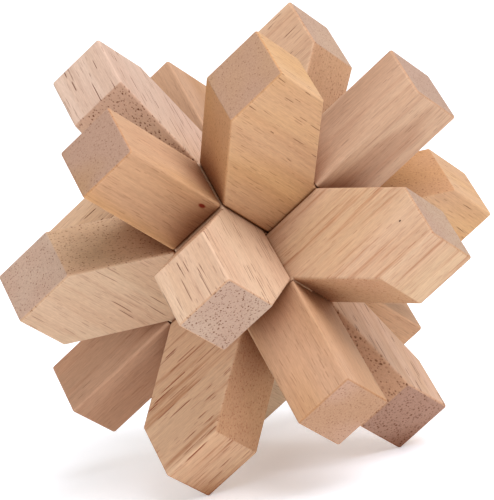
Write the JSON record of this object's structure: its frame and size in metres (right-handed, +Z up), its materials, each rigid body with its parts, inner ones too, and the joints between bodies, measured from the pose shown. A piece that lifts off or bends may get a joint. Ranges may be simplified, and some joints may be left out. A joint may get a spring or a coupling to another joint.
{
  "type": "wooden burr puzzle",
  "caption": "Wooden star burr puzzle: notched planks and square sticks interlocked around a hidden core and locked by a key with a round tongue.",
  "frame": {"origin": "centre of the puzzle's box at the level of the three arm tips that it stands on", "axes": "+Z up through a body diagonal of the puzzle, -Y along a plank's arm at the front, +X to the right; the sticks and planks are slanted to all three axes"},
  "size_m": [0.0786, 0.0858, 0.0762],
  "materials": {
    "plank_wood": "fine-sanded, unvarnished light hardwood, satin",
    "stick_wood": "fine-sanded, unvarnished light hardwood, satin",
    "key_wood": "fine-sanded, unvarnished light hardwood, satin"
  },
  "bodies": {
    "key_cap": {"key_cap": "key_wood"},
    "cross_plank_bottom": {"cross_plank_bottom": "plank_wood"},
    "side_plank_back": {"side_plank_back": "plank_wood"},
    "lower_stick_and_upright_planks": {"lower_stick": "stick_wood", "upright_plank_right": "plank_wood", "upright_plank_left": "plank_wood"},
    "upper_stick": {"upper_stick": "stick_wood"},
    "side_plank_front": {"side_plank_front": "plank_wood"},
    "cross_plank_top": {"cross_plank_top": "plank_wood"},
    "key_peg": {"key_peg": "key_wood"}
  },
  "joints": [
    {"name": "cross_plank_bottom_slide", "type": "slide", "parent": "key_cap", "child": "cross_plank_bottom", "axis": [-0.4082, -0.7071, 0.5774], "range_m": [0, 0.0138]},
    {"name": "side_plank_back_slide", "type": "slide", "parent": "cross_plank_bottom", "child": "side_plank_back", "axis": [-0.4082, -0.7071, 0.5774], "range_m": [0, 0.0255]},
    {"name": "lower_stick_slide", "type": "slide", "parent": "side_plank_back", "child": "lower_stick_and_upright_planks", "axis": [-0.4082, -0.7071, 0.5774], "range_m": [0, 0.012]},
    {"name": "upper_stick_slide", "type": "slide", "parent": "lower_stick_and_upright_planks", "child": "upper_stick", "axis": [-0.4082, -0.7071, 0.5774], "range_m": [0, 0.037]},
    {"name": "side_plank_front_slide", "type": "slide", "parent": "upper_stick", "child": "side_plank_front", "axis": [-0.4082, -0.7071, 0.5774], "range_m": [0, 0.012]},
    {"name": "cross_plank_top_slide", "type": "slide", "parent": "side_plank_front", "child": "cross_plank_top", "axis": [-0.4082, -0.7071, 0.5774], "range_m": [0, 0.0255]},
    {"name": "key_peg_slide", "type": "slide", "parent": "cross_plank_top", "child": "key_peg", "axis": [-0.4082, -0.7071, 0.5774], "range_m": [0, 0.046]}
  ]
}
